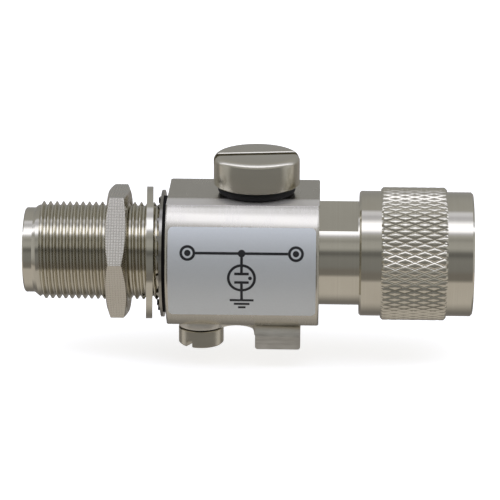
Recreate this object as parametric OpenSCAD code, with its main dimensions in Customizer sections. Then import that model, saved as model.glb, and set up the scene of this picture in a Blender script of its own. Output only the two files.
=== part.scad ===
// In-line coaxial lightning arrestor: a bulkhead socket at one end, a plug with a
// knurled coupling nut at the other, and a gas discharge tube under a slotted cap.
//
// Millimetres. X runs along the coaxial line from the socket to the plug, and +Z
// points up through the cap. The origin is on the line's axis, at the face of the
// body that is drawn up against the panel.

/* [Body] */
// Diameter of the round bar that the body is turned from
bar_d = 25.4; // [24.6:0.1:28]
// Length of the body along the line
body_len = 24.45; // [23.5:0.05:30]
// Height of the top flat above the line's axis
flat_top = 10.1; // [9.6:0.1:11]
// Depth of the bottom flat below the line's axis
flat_bottom = 9.8; // [9:0.1:11]
// Chamfer round both ends of the bar
bar_chamfer = 0.25; // [0.1:0.05:0.6]
// Diameter of the air line's outer wall in the body
line_bore_d = 9.2; // [8.4:0.1:9.8]
// Diameter of the line conductor in the body
rod_d = 4; // [3.4:0.1:4.4]

/* [Jack] */
// Major diameter of the barrel's thread
thread_d = 15.875; // [15:0.005:16.5]
// Pitch of the barrel's thread
thread_pitch = 1.058; // [0.8:0.002:1.4]
// Depth of that thread
thread_depth = 0.57; // [0.3:0.01:0.7]
// How far the barrel stands out of the body
jack_reach = 23.35; // [22:0.05:30]
// Diameter of the plain lip at the barrel's mouth
lip_d = 13.8; // [12:0.1:15]
// Length of the plain lip
lip_len = 1.55; // [1:0.05:3]
// Length of the cone from the lip to the thread
lip_taper = 1.3; // [0.5:0.1:2]
// Bore of the socket that takes the mating sleeve
socket_d = 8.1; // [7.6:0.05:9]
// Depth of the socket
socket_depth = 9.1; // [8:0.1:11]
// Inside diameter of the line's outer wall in both connectors
outer_id = 7; // [6.6:0.05:7.4]
// Diameter of the socket contact
contact_d = 3.04; // [2.8:0.02:3.4]
// How far the contact stands forward of the socket's floor
contact_lead = 5; // [4:0.1:6]
// Hole in the contact for the mating pin
contact_hole_d = 1.75; // [1.5:0.05:2]
// Depth of that hole
contact_hole_depth = 5.5; // [4.8:0.1:7]
// Width of the slots that make the contact springy
contact_slot_w = 0.35; // [0.2:0.05:0.5]
// Length of those slots
contact_slot_len = 4.2; // [3:0.1:4.6]
// Diameter of the shanks that are pressed into the body
shank_d = 10.4; // [9.9:0.1:10.8]
// Length of the barrel's shank
jack_shank_len = 5; // [3.5:0.1:6]
// Length of the supporting bead in each connector
bead_len = 5; // [3:0.1:6]
// Distance from the socket's floor to the face of its bead
bead_setback = 4; // [2:0.1:6]

/* [Nut and washers] */
// Hex nut, across flats
nut_af = 19.8; // [19:0.1:22]
// Thickness of the hex nut
nut_t = 3.4; // [2.5:0.1:5]
// Space between the hex nut and the flat washer
nut_gap = 2.7; // [1:0.1:5]
// Angle of the chamfers on the nut's corners
nut_chamfer_angle = 20; // [12:1:30]
// Turn of the nut about the line
nut_phase = 4.7; // [0:0.1:60]
// Outside diameter of the flat washer
washer_d = 21.5; // [20:0.1:24]
// Radial room of the flat washer over the thread
washer_room = 0.31; // [0.15:0.01:0.8]
// Thickness of the flat washer
washer_t = 1.05; // [0.8:0.05:2]
// Space between the flat washer and the lock washer's teeth
washer_gap = 0.3; // [0.1:0.05:1]
// How far the loose flat washer leans to one side
washer_lean = 3.5; // [0:0.5:6]
// How far that washer leans forward at its top
washer_tip = 1; // [0:0.5:3]
// Outside diameter of the toothed lock washer
lock_d = 20.7; // [20:0.1:23]
// Radial room of the lock washer's teeth over the thread
lock_room = 0.41; // [0.15:0.01:0.6]
// Thickness of the lock washer
lock_t = 0.45; // [0.3:0.05:1]
// Number of inner teeth on the lock washer
tooth_count = 18; // [8:1:22]
// Length of each tooth, inwards from the rim
tooth_len = 0.6; // [0.3:0.05:0.8]
// Width of each tooth
tooth_w = 1.5; // [0.8:0.1:2]
// Twist of each tooth out of the rim's plane
tooth_twist = 22; // [5:1:35]
// Outside diameter of the rubber gasket
gasket_d = 19; // [18.5:0.1:22]
// Radial room of the rubber gasket over the thread
gasket_room = 0.51; // [0.15:0.01:0.8]
// Thickness of the rubber gasket
gasket_t = 0.65; // [0.5:0.05:2]

/* [Gas tube] */
// Distance of the tube's axis from the panel face
tube_x = 14.25; // [13.8:0.05:14.8]
// Diameter of the gas tube
tube_d = 8; // [7.5:0.1:8.4]
// Height of the gas tube over its electrodes
tube_h = 6; // [5:0.1:7]
// Thickness of each electrode's flange
electrode_t = 0.8; // [0.5:0.05:1.2]
// Wall of the tube's ceramic ring
tube_wall = 1; // [0.6:0.1:1.4]
// Spark gap between the electrodes
spark_gap = 0.8; // [0.4:0.1:1.2]
// Depth of the flat on the line conductor that the tube stands on
seat_flat = 0.4; // [0.2:0.05:0.8]
// Height of the dished contact spring
spring_h = 1.2; // [0.8:0.1:2]
// Thickness of the contact spring's strip
spring_t = 0.3; // [0.2:0.05:0.5]

/* [Cap] */
// Diameter of the cap's head
cap_d = 13.9; // [13.2:0.05:16]
// Height of the cap's head
cap_h = 5; // [4:0.1:7]
// Radius round the cap's top edge
cap_round = 1.1; // [0.3:0.05:1.4]
// Bevel round the cap's bottom edge
cap_bevel = 0.2; // [0.1:0.05:0.4]
// Width of the screwdriver slot in the cap
cap_slot_w = 1.6; // [1:0.1:2.5]
// Depth of that slot
cap_slot_depth = 1.5; // [0.8:0.1:2.2]
// Turn of that slot from the line's direction
cap_slot_turn = 7; // [0:0.5:180]
// Major diameter of the cap's thread
cap_thread_d = 10; // [9.6:0.1:10.6]
// How far the cap's cup reaches down over the tube
cap_grip = 2.3; // [1.5:0.1:3]
// Section of the sealing ring under the cap
seal_section = 1.5; // [1.2:0.05:1.8]
// Squeeze of that ring against the cap's stem
seal_squeeze = 0.3; // [0.1:0.05:0.4]

/* [Plug] */
// Diameter of the plain neck
neck_d = 16.85; // [16.4:0.05:17.4]
// Length of neck between the body and the coupling nut
neck_show = 6.45; // [4:0.05:10]
// Across the two wrench flats on the neck
wrench_af = 14.2; // [13:0.1:15.6]
// Turn of those flats about the line
wrench_turn = 16; // [0:1:180]
// Round land left between those flats and the coupling nut
wrench_land = 0.2; // [0.1:0.05:1]
// Diameter of the coupling nut's rear collar
collar_d = 20.3; // [19.8:0.1:21.3]
// Length of the rear collar
collar_len = 3.5; // [2:0.1:5]
// Diameter over the knurled band
knurl_d = 21.6; // [21:0.1:23]
// Length of the knurled band
knurl_len = 10.6; // [9:0.05:14]
// Diamonds round the knurled band
knurl_count = 55; // [36:1:70]
// Length of one diamond along the band
knurl_pitch = 3.2; // [2:0.1:4]
// Depth of the knurl between its diamonds
knurl_depth = 0.34; // [0.2:0.02:0.5]
// Diameter of the coupling nut's front ring
front_d = 20.15; // [19.6:0.05:21]
// Length of the front ring
front_len = 4.25; // [3:0.05:6]
// Bevel at both ends of the knurled band
knurl_bevel = 0.35; // [0.1:0.05:0.6]
// Bevel round the outer ends of the coupling nut
nut_end_bevel = 0.3; // [0.1:0.05:0.6]
// Depth of the coupling nut's threaded mouth, down to the plug's gasket seat
mouth_depth = 11.2; // [10:0.1:12]
// Outside diameter of the plug's contact sleeve
sleeve_d = 8; // [7.7:0.05:8.1]
// Length of the contact sleeve
sleeve_len = 9; // [8:0.1:9.6]
// Distance of the pin's shoulder behind the end of the sleeve
pin_recess = 5.3; // [4.5:0.1:6]
// Diameter of the pin's tip
pin_d = 1.65; // [1.5:0.05:1.8]
// Length of the pin's tip
pin_len = 4.4; // [3.5:0.1:5]
// Thickness of the rubber gasket in the coupling nut
plug_gasket_t = 1.2; // [0.8:0.1:2]
// Outside diameter of that gasket
plug_gasket_d = 14.6; // [13:0.1:15.4]
// Distance of the retaining ring from the coupling nut's rear face
ring_setback = 2; // [1:0.1:3]
// Width of the retaining ring
ring_w = 0.9; // [0.6:0.1:1.4]
// Depth of the retaining ring's groove in the neck
ring_groove = 0.8; // [0.5:0.05:1.1]
// How far the retaining ring stands out of the neck
ring_stand = 0.6; // [0.4:0.05:0.8]
// Opening in the retaining ring
ring_split = 1.5; // [0.5:0.1:3]

/* [Ground terminal] */
// Distance of the ground screw from the panel face
screw_x = 5.4; // [5:0.1:6]
// Distance of the ground screw in front of the line's axis
screw_y = 4.05; // [3.6:0.05:4.4]
// Thread diameter of the ground screw
screw_d = 4; // [3:0.1:4.4]
// How far the ground screw enters the body
screw_bite = 3.5; // [2.5:0.1:4]
// Diameter of the ground screw's head
head_d = 7.3; // [6.4:0.1:8]
// Height of that head
head_h = 2.75; // [2:0.05:3.2]
// Bevel round that head's lower edge
head_bevel = 0.2; // [0.1:0.05:0.5]
// Width of the slot in that head
head_slot_w = 1.1; // [0.8:0.1:1.5]
// Depth of that slot
head_slot_depth = 1.1; // [0.6:0.1:1.5]
// Turn of that slot from the line's direction
head_slot_turn = 60; // [0:1:180]
// Space left between the lug and the screw's head
head_gap = 0.3; // [0.1:0.05:0.6]
// Thickness of the ground lug's sheet
lug_t = 1.2; // [0.8:0.05:1.5]
// Diameter of the lug's round end
lug_end_d = 7.3; // [6.6:0.1:7.8]
// Distance of the tab from the panel face
tab_x = 14.25; // [13.5:0.05:15]
// Width of the bent-down tab
tab_w = 7.3; // [5:0.1:9]
// Distance of the tab's face in front of the line's axis
tab_y = 8; // [7.6:0.1:9]
// How far the tab hangs below the bottom flat
tab_drop = 4.15; // [3.4:0.05:6]
// Inside radius of the tab's bend
bend_r = 0.8; // [0.3:0.05:1.2]
// Radius of the tab's lower corners
tab_corner = 0.45; // [0.2:0.05:1]
// Diameter of the scallop between the round end and the tab
scallop_d = 6; // [5:0.1:6.6]

/* [Label] */
// Length of the label along the line
label_w = 23.5; // [18:0.1:23.5]
// Height of the label, measured straight
label_h = 14.6; // [10:0.1:16]
// Thickness of the label's foil
label_t = 0.1; // [0.05:0.01:0.2]
// Radius of the label's corners
label_corner = 0.8; // [0.3:0.1:2]

/* [Fits] */
// Radial room in a fixed joint
seat_fit = 0.02; // [0.01:0.005:0.04]
// Radial room in a screwed or turning joint
run_fit = 0.06; // [0.03:0.01:0.09]
// Room between faces of pieces that lie against each other and can part
touch = 0.03; // [0.02:0.01:0.06]

/* [Hidden] */
$fn = 96;
eps = 0.01;

nickel = [0.72, 0.69, 0.64];
bright_nickel = [0.78, 0.76, 0.72];
gilt = [0.83, 0.66, 0.30];
fluoroplastic = [0.93, 0.93, 0.90];
black_rubber = [0.06, 0.06, 0.07];
silicone = [0.62, 0.20, 0.14];
alumina = [0.93, 0.92, 0.88];
foil = [0.68, 0.70, 0.72];
spring_steel = [0.55, 0.55, 0.55];

bar_r = bar_d / 2;
thread_r = thread_d / 2;
outer_r = outer_id / 2;
contact_r = contact_d / 2;
rod_r = rod_d / 2;
shank_r = shank_d / 2;
neck_r = neck_d / 2;
sleeve_r = sleeve_d / 2;
tube_r = tube_d / 2;
cap_r = cap_d / 2;
cap_thread_r = cap_thread_d / 2;
screw_r = screw_d / 2;

// Shared small features
bore_bevel = 0.4;
spigot_r = 0.8;
spigot_len = 2.5;
end_room = 0.3;
plug_shank_len = 3.5;
joint_inset = 1;
bead_inset = 1;
seat_margin = 0.5;
boss_share = 0.7;
strip_share = 0.55;
scallop_lead = 0.2;
crest_share = 1 / 8;
root_start = 7 / 16;
root_end = 11 / 16;

// Stations along the line, from the jack's mouth to the body
jack_end = -jack_reach;
thread_start = jack_end + lip_len + lip_taper;
socket_floor = jack_end + socket_depth;
contact_tip = socket_floor - contact_lead;
jack_bead_x = socket_floor + bead_setback;
rod_start = jack_shank_len;
rod_end = body_len - plug_shank_len;
jack_joint = -joint_inset;
plug_joint = body_len + joint_inset;

// Stations of the loose rings on the barrel, each lying against the last
tooth_rise = tooth_w * sin(tooth_twist) + lock_t * cos(tooth_twist) - lock_t;
lock_x = -(gasket_t + touch + lock_t);
lean_reach = washer_d / 2 * sqrt(pow(sin(washer_lean), 2) + pow(sin(washer_tip), 2));
washer_x = lock_x - tooth_rise - washer_gap - lean_reach - washer_t;
nut_x = washer_x - nut_gap - nut_t;
nut_bore_r = thread_r + run_fit;
lock_tip_r = thread_r + lock_room;
lock_rim_r = lock_tip_r + tooth_len;

// Stations along the plug
coupling_x = body_len + neck_show;
knurl_x = coupling_x + collar_len;
front_x = knurl_x + knurl_len;
coupling_end = front_x + front_len;
gasket_seat = coupling_end - mouth_depth;
sleeve_end = gasket_seat + sleeve_len;
pin_shoulder = sleeve_end - pin_recess;
ring_x = coupling_x + ring_setback;
plug_bead_x = gasket_seat - bead_inset - bead_len;
mouth_r = thread_r + 2 * run_fit;
nut_shoulder = gasket_seat + end_room;

// Heights of the gas tube and its cap
seat_z = rod_r - seat_flat;
tube_top = seat_z + tube_h;
cup_r = tube_r + 2 * run_fit;
cup_bottom = tube_top - cap_grip;
cup_ceiling = tube_top + touch + spring_h;
seal_h = seal_section - 2 * touch;
cap_under = flat_top + seal_section;
cap_top = cap_under + cap_h;
seal_bore_r = cap_thread_r + run_fit;
seal_mid_r = seal_bore_r + seal_section / 2 - seal_squeeze;
chamber_r = cap_thread_r - touch;

// Heights and corners of the ground terminal
lug_top = -flat_bottom - touch;
head_top = lug_top - lug_t - head_gap;
screw_tip = -flat_bottom + screw_bite;
bend_outer = bend_r + lug_t;
bend_y = -(tab_y - bend_outer);
bend_z = lug_top - bend_outer;
tab_tip = -flat_bottom - tab_drop;
lug_end_r = lug_end_d / 2;
lug_back = -screw_y + lug_end_r;
scallop_r = scallop_d / 2;
scallop_x = tab_x - scallop_r;
scallop_y = -(tab_y - scallop_lead);
strip_y = -(screw_y + strip_share * lug_end_r);

// Turns an outline of [station, radius] points about the line's axis
module turned(outline) {
    rotate([0, 90, 0])
        rotate_extrude()
            polygon([for (p = outline) [p[1], p[0]]]);
}

// A plain ring about the line: bore and outside radius, first station and width
module ring(inner, outer, x, width) {
    turned([[x, inner], [x, outer], [x + width, outer], [x + width, inner]]);
}

// A solid rod about the line
module rod(r, x, length) {
    translate([x, 0, 0])
        rotate([0, 90, 0])
            cylinder(r = r, h = length);
}

// Lowers a loose ring with this radial room until its bore hangs on the barrel
module hung(room) {
    translate([0, 0, -(room - touch)])
        children();
}

// The body: round bar with two flats, bored for the line, the tube and the ground screw
module body() {
    color(nickel)
    difference() {
        intersection() {
            turned([
                [0, 0], [0, bar_r - bar_chamfer], [bar_chamfer, bar_r],
                [body_len - bar_chamfer, bar_r], [body_len, bar_r - bar_chamfer], [body_len, 0]
            ]);
            translate([-eps, -bar_d, -flat_bottom])
                cube([body_len + 2 * eps, 2 * bar_d, flat_bottom + flat_top]);
        }
        rod(line_bore_d / 2, -eps, body_len + 2 * eps);
        rod(shank_r + seat_fit, -eps, jack_shank_len + eps);
        rod(shank_r + seat_fit, rod_end, plug_shank_len + eps);
        translate([tube_x, 0, 0])
            cylinder(r = chamber_r, h = flat_top + eps);
        translate([tube_x, 0, cup_bottom - end_room])
            cylinder(r = cap_thread_r + run_fit, h = flat_top);
        translate([screw_x, -screw_y, -flat_bottom - eps])
            cylinder(r = screw_r + run_fit, h = screw_bite + end_room + eps);
    }
}

// The foil label, wrapped on the front of the bar
module label() {
    label_turn = asin(label_h / 2 / bar_r);
    color(foil)
    intersection() {
        rotate([0, 90, 0])
            rotate([0, 0, -90 - label_turn])
                rotate_extrude(angle = 2 * label_turn)
                    translate([bar_r, 0])
                        square([label_t, body_len]);
        translate([(body_len - label_w) / 2, 0, -label_h / 2])
            rounded_block(label_w, label_h, label_corner, bar_d);
    }
}

// A block with four rounded edges, standing forward of the XZ plane
module rounded_block(width, height, corner, depth) {
    translate([corner, -depth, 0])
        cube([width - 2 * corner, depth, height]);
    translate([0, -depth, corner])
        cube([width, depth, height - 2 * corner]);
    for (x = [corner, width - corner], z = [corner, height - corner])
        translate([x, 0, z])
            rotate([90, 0, 0])
                cylinder(r = corner, h = depth);
}

// The threaded barrel of the jack, with the socket in its mouth and a shank in the body
module jack_barrel() {
    color(nickel)
    turned(concat(
        [
            [jack_end, socket_d / 2 + bore_bevel],
            [jack_end, lip_d / 2 - bore_bevel / 2],
            [jack_end + bore_bevel / 2, lip_d / 2],
            [jack_end + lip_len, lip_d / 2]
        ],
        thread_ridges(),
        [
            [0, thread_r], [0, shank_r], [jack_shank_len, shank_r],
            [jack_shank_len, outer_r], [socket_floor, outer_r], [socket_floor, socket_d / 2],
            [jack_end + bore_bevel, socket_d / 2]
        ]
    ));
}

// Outline of the barrel's thread: one ring-shaped ridge for each pitch
function thread_ridges() = [
    for (i = [0 : floor(-thread_start / thread_pitch) - 1])
        for (corner = [[0, 0], [crest_share, 0], [root_start, 1], [root_end, 1]])
            [thread_start + (i + corner[0]) * thread_pitch, thread_r - corner[1] * thread_depth]
];

// The bead that holds the contact in the middle of the barrel
module jack_insulator() {
    color(fluoroplastic)
    ring(contact_r + seat_fit, outer_r - seat_fit, jack_bead_x, bead_len);
}

// The slotted socket contact, with a spigot that plugs into the line conductor
module jack_contact() {
    color(gilt)
    difference() {
        union() {
            rod(contact_r, contact_tip, jack_joint - contact_tip);
            rod(spigot_r, contact_tip, jack_joint - contact_tip + spigot_len);
        }
        rod(contact_hole_d / 2, contact_tip - eps, contact_hole_depth + eps);
        for (turn = [0, 90])
            rotate([turn, 0, 0])
                translate([contact_tip - eps, -contact_slot_w / 2, -contact_d])
                    cube([contact_slot_len + eps, contact_slot_w, 2 * contact_d]);
    }
}

// The rod through the body, with a flat on top for the gas tube to stand on
module line_conductor() {
    seat_len = tube_d + 2 * seat_margin;
    color(bright_nickel)
    difference() {
        union() {
            rod(contact_r, jack_joint, plug_joint - jack_joint);
            rod(rod_r, rod_start + end_room, rod_end - rod_start - 2 * end_room);
        }
        translate([tube_x - seat_len / 2, -rod_d, seat_z])
            cube([seat_len, 2 * rod_d, rod_d]);
        rod(spigot_r + seat_fit, jack_joint - eps, spigot_len + end_room);
        rod(spigot_r + seat_fit, plug_joint - spigot_len - end_room, spigot_len + end_room + eps);
    }
}

// The rubber gasket between the body and the panel
module bulkhead_gasket() {
    color(black_rubber)
    hung(gasket_room)
        ring(thread_r + gasket_room, gasket_d / 2, -gasket_t, gasket_t);
}

// The toothed lock washer: a flat rim with twisted teeth that point inwards
module lock_washer() {
    tooth_root = (lock_d / 2 - lock_rim_r) / 4;
    tooth_mid = lock_t - (tooth_rise + lock_t) / 2;
    color(bright_nickel)
    hung(lock_room)
        translate([lock_x, 0, 0])
            rotate([0, 90, 0]) {
                difference() {
                    cylinder(r = lock_d / 2, h = lock_t);
                    translate([0, 0, -eps])
                        cylinder(r = lock_rim_r, h = lock_t + 2 * eps);
                }
                for (i = [0 : tooth_count - 1])
                    rotate([0, 0, i * 360 / tooth_count])
                        translate([lock_tip_r, 0, tooth_mid])
                            rotate([tooth_twist, 0, 0])
                                translate([0, -tooth_w / 2, -lock_t / 2])
                                    cube([tooth_len + tooth_root, tooth_w, lock_t]);
            }
}

// The plain washer under the hex nut, leaning as it hangs on the thread
module flat_washer() {
    color(bright_nickel)
    hung(washer_room)
        translate([washer_x + washer_t / 2, 0, 0])
            rotate([0, washer_tip, washer_lean])
                ring(thread_r + washer_room, washer_d / 2, -washer_t / 2, washer_t);
}

// The hex nut, chamfered on both faces
module hex_nut() {
    corner_r = nut_af / sqrt(3);
    flat_r = nut_af / 2 - bore_bevel / 2;
    cone_r = corner_r + bore_bevel;
    cone_x = (cone_r - flat_r) * tan(nut_chamfer_angle);
    color(nickel)
    difference() {
        intersection() {
            translate([nut_x, 0, 0])
                rotate([-nut_phase, 0, 0])
                    rotate([0, 90, 0])
                        rotate([0, 0, 90])
                            cylinder(r = corner_r, h = nut_t, $fn = 6);
            turned([
                [nut_x, 0], [nut_x, flat_r], [nut_x + cone_x, cone_r],
                [nut_x + nut_t - cone_x, cone_r], [nut_x + nut_t, flat_r], [nut_x + nut_t, 0]
            ]);
        }
        turned([
            [nut_x - eps, 0],
            [nut_x - eps, nut_bore_r + bore_bevel + eps],
            [nut_x + bore_bevel, nut_bore_r],
            [nut_x + nut_t - bore_bevel, nut_bore_r],
            [nut_x + nut_t + eps, nut_bore_r + bore_bevel + eps],
            [nut_x + nut_t + eps, 0]
        ]);
    }
}

// The plug's shell: shank in the body, neck with wrench flats, ring groove and contact sleeve
module plug_shell() {
    groove_r = neck_r - ring_groove;
    sleeve_bevel = (sleeve_r - outer_r) / 2;
    flat_len = neck_show - wrench_land;
    color(nickel)
    difference() {
        turned([
            [rod_end, outer_r], [rod_end, shank_r], [body_len, shank_r], [body_len, neck_r],
            [ring_x - touch, neck_r], [ring_x - touch, groove_r],
            [ring_x + ring_w + touch, groove_r], [ring_x + ring_w + touch, neck_r],
            [gasket_seat, neck_r], [gasket_seat, sleeve_r],
            [sleeve_end - sleeve_bevel, sleeve_r], [sleeve_end, sleeve_r - sleeve_bevel],
            [sleeve_end, outer_r]
        ]);
        for (turn = [0, 180])
            rotate([wrench_turn + turn, 0, 0])
                translate([body_len - eps, -neck_d, wrench_af / 2])
                    cube([flat_len + eps, 2 * neck_d, neck_d]);
    }
}

// The bead that holds the pin in the middle of the plug
module plug_insulator() {
    color(fluoroplastic)
    ring(contact_r + seat_fit, outer_r - seat_fit, plug_bead_x, bead_len);
}

// The plug's pin: thick root, thin tip with a coned nose, and a spigot to the rear
module plug_pin() {
    nose = pin_d / 3;
    color(gilt)
    turned([
        [plug_joint - spigot_len, 0], [plug_joint - spigot_len, spigot_r],
        [plug_joint, spigot_r], [plug_joint, contact_r],
        [pin_shoulder - bore_bevel, contact_r], [pin_shoulder, pin_d / 2 + bore_bevel],
        [pin_shoulder, pin_d / 2], [pin_shoulder + pin_len - nose, pin_d / 2],
        [pin_shoulder + pin_len, pin_d / 4], [pin_shoulder + pin_len, 0]
    ]);
}

// The gasket that the mating jack is drawn against
module plug_gasket() {
    color(silicone)
    ring(sleeve_r + 2 * run_fit, plug_gasket_d / 2, gasket_seat, plug_gasket_t);
}

// The split ring that keeps the coupling nut on the neck
module retaining_ring() {
    groove_r = neck_r - ring_groove;
    color(spring_steel)
    difference() {
        ring(groove_r + seat_fit, neck_r + ring_stand, ring_x, ring_w);
        translate([ring_x - eps, -ring_split / 2, 0])
            cube([ring_w + 2 * eps, ring_split, neck_d]);
    }
}

// The coupling nut: collar, knurled band and front ring outside, thread and ring groove inside
module coupling_nut() {
    collar_r = collar_d / 2;
    front_r = front_d / 2;
    hole_r = neck_r + run_fit;
    groove_r = neck_r + ring_stand + 2 * run_fit;
    groove_room = 2 * touch;
    color(nickel)
    difference() {
        union() {
            turned([
                [coupling_x, 0], [coupling_x, collar_r - nut_end_bevel],
                [coupling_x + nut_end_bevel, collar_r], [knurl_x + eps, collar_r], [knurl_x + eps, 0]
            ]);
            knurled_drum();
            turned([
                [front_x - eps, 0], [front_x - eps, front_r], [coupling_end - nut_end_bevel, front_r],
                [coupling_end, front_r - nut_end_bevel], [coupling_end, 0]
            ]);
        }
        turned([
            [coupling_x - eps, 0], [coupling_x - eps, hole_r],
            [ring_x - groove_room, hole_r], [ring_x - groove_room, groove_r],
            [ring_x + ring_w + groove_room, groove_r], [ring_x + ring_w + groove_room, hole_r],
            [nut_shoulder, hole_r], [nut_shoulder, mouth_r],
            [coupling_end - bore_bevel, mouth_r],
            [coupling_end + eps, mouth_r + bore_bevel + eps], [coupling_end + eps, 0]
        ]);
    }
}

// The knurled band as a solid drum, with a small pyramid in every diamond of the knurl
module knurled_drum() {
    knurl_r = knurl_d / 2;
    columns = 2 * knurl_count;
    band_len = knurl_len - 2 * knurl_bevel;
    rows = max(2, round(2 * band_len / knurl_pitch));
    band = [for (j = [0 : rows]) knurl_x + knurl_bevel + j * band_len / rows];
    stations = concat([knurl_x], band, [front_x]);
    last = len(stations) - 1;
    points = [
        for (j = [0 : last], i = [0 : columns - 1])
            let (
                drop = j == 0 || j == last ? knurl_bevel : (i + j) % 2 == 0 ? knurl_depth : 0,
                turn = 360 * i / columns
            )
            [stations[j], (knurl_r - drop) * cos(turn), (knurl_r - drop) * sin(turn)]
    ];
    skin = [
        for (j = [0 : last - 1], i = [0 : columns - 1])
            let (
                a = j * columns + i,
                b = j * columns + (i + 1) % columns,
                c = b + columns,
                d = a + columns
            )
            each (i + j) % 2 == 0 ? [[a, c, b], [a, d, c]] : [[a, d, b], [b, d, c]]
    ];
    ends = [
        [for (i = [0 : columns - 1]) i],
        [for (i = [columns - 1 : -1 : 0]) last * columns + i]
    ];
    polyhedron(points = points, faces = concat(skin, ends));
}

// One electrode of the gas tube: a flange and a boss that faces the other electrode
module electrode() {
    boss_h = (tube_h - spark_gap) / 2;
    boss_r = (tube_r - tube_wall) * boss_share;
    cylinder(r = tube_r, h = electrode_t);
    cylinder(r = boss_r, h = boss_h);
}

module gas_tube_lower_electrode() {
    color(bright_nickel)
    translate([tube_x, 0, seat_z])
        electrode();
}

module gas_tube_upper_electrode() {
    color(bright_nickel)
    translate([tube_x, 0, tube_top])
        mirror([0, 0, 1])
            electrode();
}

// The ceramic ring between the two electrodes
module gas_tube_ceramic() {
    ring_h = tube_h - 2 * electrode_t;
    color(alumina)
    translate([tube_x, 0, seat_z + electrode_t])
        difference() {
            cylinder(r = tube_r, h = ring_h);
            translate([0, 0, -eps])
                cylinder(r = tube_r - tube_wall, h = ring_h + 2 * eps);
        }
}

// The slotted cap: round-edged head, threaded stem, and a cup over the gas tube
module tube_cap() {
    color(nickel)
    translate([tube_x, 0, 0])
        difference() {
            union() {
                translate([0, 0, cap_under + cap_bevel])
                    cylinder(r = cap_r, h = cap_h - cap_bevel - cap_round);
                translate([0, 0, cap_under])
                    cylinder(r1 = cap_r - cap_bevel, r2 = cap_r, h = cap_bevel);
                translate([0, 0, cap_top - cap_round])
                    cylinder(r = cap_r - cap_round, h = cap_round);
                translate([0, 0, cap_top - cap_round])
                    rotate_extrude()
                        translate([cap_r - cap_round, 0])
                            circle(r = cap_round);
                translate([0, 0, cup_bottom])
                    cylinder(r = cap_thread_r, h = cap_under + cap_bevel - cup_bottom);
            }
            translate([0, 0, cup_bottom - eps])
                cylinder(r = cup_r, h = cup_ceiling - cup_bottom + eps);
            translate([0, 0, cap_top - cap_slot_depth])
                rotate([0, 0, cap_slot_turn])
                    translate([-cap_d, -cap_slot_w / 2, 0])
                        cube([2 * cap_d, cap_slot_w, cap_slot_depth + eps]);
        }
}

// The sealing ring under the cap, flattened between cap and body and against the stem
module cap_seal() {
    color(black_rubber)
    translate([tube_x, 0, flat_top + touch])
        intersection() {
            translate([0, 0, seal_h / 2])
                rotate_extrude()
                    translate([seal_mid_r, 0])
                        circle(d = seal_section);
            difference() {
                cylinder(r = cap_d, h = seal_h);
                translate([0, 0, -eps])
                    cylinder(r = seal_bore_r, h = seal_h + 2 * eps);
            }
        }
}

// The dished spring that presses the tube down on the line
module contact_spring() {
    rim_r = tube_r - 2 * run_fit;
    eye_r = rim_r / 3;
    bottom = tube_top + touch;
    color(spring_steel)
    translate([tube_x, 0, 0])
        rotate_extrude()
            polygon([
                [eye_r, bottom], [eye_r, bottom + spring_t],
                [rim_r, cup_ceiling], [rim_r, cup_ceiling - spring_t]
            ]);
}

// The ground lug: round end, scalloped strip, and a tab bent down at the front
module ground_lug() {
    tab_end = tab_x + tab_w;
    lug_bottom = lug_top - lug_t;
    color(bright_nickel)
    difference() {
        union() {
            translate([screw_x, -screw_y, lug_bottom])
                cylinder(r = lug_end_r, h = lug_t);
            translate([screw_x, strip_y, lug_bottom])
                cube([scallop_x - screw_x + eps, lug_back - strip_y, lug_t]);
            translate([scallop_x, bend_y, lug_bottom])
                cube([tab_end - scallop_x, lug_back - bend_y, lug_t]);
            translate([scallop_x, bend_y, bend_z])
                rotate([0, 90, 0])
                    rotate([0, 0, 180])
                        rotate_extrude(angle = 90)
                            translate([bend_r, 0])
                                square([lug_t, tab_end - scallop_x]);
            lug_tab();
        }
        translate([scallop_x, scallop_y, bend_z - eps])
            cylinder(r = scallop_r, h = bend_outer + 2 * eps);
        translate([tab_x - scallop_d, -tab_y - eps, bend_z - eps])
            cube([scallop_d, tab_y + eps + scallop_y, bend_outer + 2 * eps]);
        translate([screw_x, -screw_y, lug_bottom - eps])
            cylinder(r = screw_r + 4 * run_fit, h = lug_t + 2 * eps);
    }
}

// The tab below the bend, with two rounded lower corners
module lug_tab() {
    translate([tab_x, -tab_y, tab_tip + tab_corner])
        cube([tab_w, lug_t, bend_z - tab_tip - tab_corner]);
    translate([tab_x + tab_corner, -tab_y, tab_tip])
        cube([tab_w - 2 * tab_corner, lug_t, tab_corner + eps]);
    for (x = [tab_corner, tab_w - tab_corner])
        translate([tab_x + x, -tab_y, tab_tip + tab_corner])
            rotate([-90, 0, 0])
                cylinder(r = tab_corner, h = lug_t);
}

// The slotted cheese-head screw, entering the body from below
module ground_screw() {
    head_r = head_d / 2;
    tip_bevel = screw_r / 4;
    color(nickel)
    translate([screw_x, -screw_y, 0])
        difference() {
            rotate_extrude()
                polygon([
                    [0, head_top - head_h], [head_r - head_bevel, head_top - head_h],
                    [head_r, head_top - head_h + head_bevel], [head_r, head_top],
                    [screw_r, head_top], [screw_r, screw_tip - tip_bevel],
                    [screw_r - tip_bevel, screw_tip], [0, screw_tip]
                ]);
            translate([0, 0, head_top - head_h])
                rotate([0, 0, head_slot_turn])
                    translate([-head_d, -head_slot_w / 2, -eps])
                        cube([2 * head_d, head_slot_w, head_slot_depth + eps]);
        }
}

body();
label();
jack_barrel();
jack_insulator();
jack_contact();
line_conductor();
bulkhead_gasket();
lock_washer();
flat_washer();
hex_nut();
plug_shell();
plug_insulator();
plug_pin();
plug_gasket();
retaining_ring();
coupling_nut();
gas_tube_lower_electrode();
gas_tube_ceramic();
gas_tube_upper_electrode();
tube_cap();
cap_seal();
contact_spring();
ground_lug();
ground_screw();
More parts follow.
